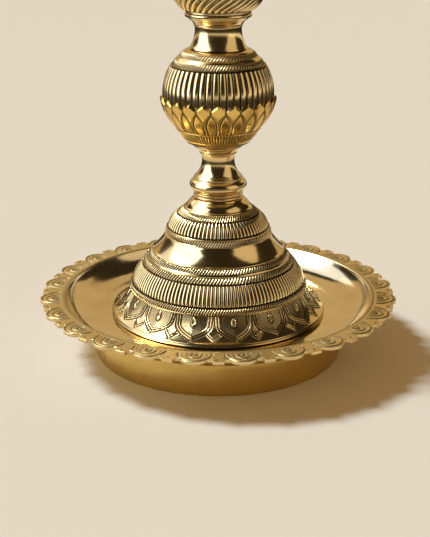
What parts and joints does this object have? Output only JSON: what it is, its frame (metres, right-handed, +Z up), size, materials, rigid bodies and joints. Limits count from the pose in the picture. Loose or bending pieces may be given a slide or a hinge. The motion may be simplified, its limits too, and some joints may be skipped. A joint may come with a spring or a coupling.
{
  "type": "standing oil lamp",
  "caption": "Standing brass oil lamp: a chased bell base in a lobed drip dish, a turned stem of lotus and reeded knops, a bowl with wick spouts and a spire finial that unscrew from each other.",
  "frame": {"origin": "centre of the underside of the foot ring, on the surface that the lamp stands on", "axes": "+Z up the axis of the lamp and of all its threads; -Y towards the viewer, along one wick spout"},
  "size_m": [0.2142, 0.2142, 0.457],
  "materials": {
    "polished_brass": "polished, with dark patina left in the cuts",
    "satin_brass": "satin, lathe brushed",
    "turned_brass": "as turned, dull"
  },
  "bodies": {
    "drip_plate": {"drip_dish": "satin_brass", "foot_ring": "satin_brass"},
    "bell": {"bell_base": "polished_brass", "bell_socket": "turned_brass"},
    "stem_stud": {"stem_stud": "turned_brass"},
    "lower_stem": {"neck_ring": "polished_brass", "collar_spool": "polished_brass", "lotus_cup": "satin_brass", "fluted_dome": "polished_brass", "neck_trumpet": "polished_brass", "spiral_knop": "polished_brass", "knop_cap": "polished_brass", "lower_core": "turned_brass"},
    "upper_stud": {"upper_stud": "turned_brass"},
    "upper_stem": {"upper_core": "turned_brass", "upper_neck": "polished_brass", "upper_ball": "polished_brass", "bowl_trumpet": "polished_brass"},
    "bowl_stud": {"bowl_stud": "turned_brass"},
    "bowl": {"oil_bowl": "polished_brass", "bowl_boss": "polished_brass"},
    "finial_stud": {"finial_stud": "turned_brass"},
    "finial": {"finial_cup": "polished_brass", "finial_ball": "polished_brass", "finial_spire": "polished_brass"}
  },
  "joints": [
    {"name": "lamp_lift", "type": "slide", "parent": "drip_plate", "child": "bell", "axis": [0, 0, 1], "range_m": [0, 0.12]},
    {"name": "stem_rise", "type": "slide", "parent": "bell", "child": "stem_stud", "axis": [0, 0, 1], "range_m": [0, 0.01]},
    {"name": "stem_screw", "type": "hinge", "parent": "stem_stud", "child": "lower_stem", "pos_m": [0, 0, 0.0957], "axis": [0, 0, 1], "range_deg": [0, 1800]},
    {"name": "upper_rise", "type": "slide", "parent": "lower_stem", "child": "upper_stud", "axis": [0, 0, 1], "range_m": [0, 0.01]},
    {"name": "upper_screw", "type": "hinge", "parent": "upper_stud", "child": "upper_stem", "pos_m": [0, 0, 0.2403], "axis": [0, 0, 1], "range_deg": [0, 1800]},
    {"name": "bowl_rise", "type": "slide", "parent": "upper_stem", "child": "bowl_stud", "axis": [0, 0, 1], "range_m": [0, 0.01]},
    {"name": "bowl_screw", "type": "hinge", "parent": "bowl_stud", "child": "bowl", "pos_m": [0, 0, 0.3138], "axis": [0, 0, 1], "range_deg": [0, 1800]},
    {"name": "finial_rise", "type": "slide", "parent": "bowl", "child": "finial_stud", "axis": [0, 0, 1], "range_m": [0, 0.01]},
    {"name": "finial_screw", "type": "hinge", "parent": "finial_stud", "child": "finial", "pos_m": [0, 0, 0.3363], "axis": [0, 0, 1], "range_deg": [0, 1800]}
  ],
  "couplings": [
    {"joint": "stem_rise", "follows": "stem_screw", "m_per_rad": 0.0003183},
    {"joint": "upper_rise", "follows": "upper_screw", "m_per_rad": 0.0003183},
    {"joint": "bowl_rise", "follows": "bowl_screw", "m_per_rad": 0.0003183},
    {"joint": "finial_rise", "follows": "finial_screw", "m_per_rad": 0.0003183}
  ]
}
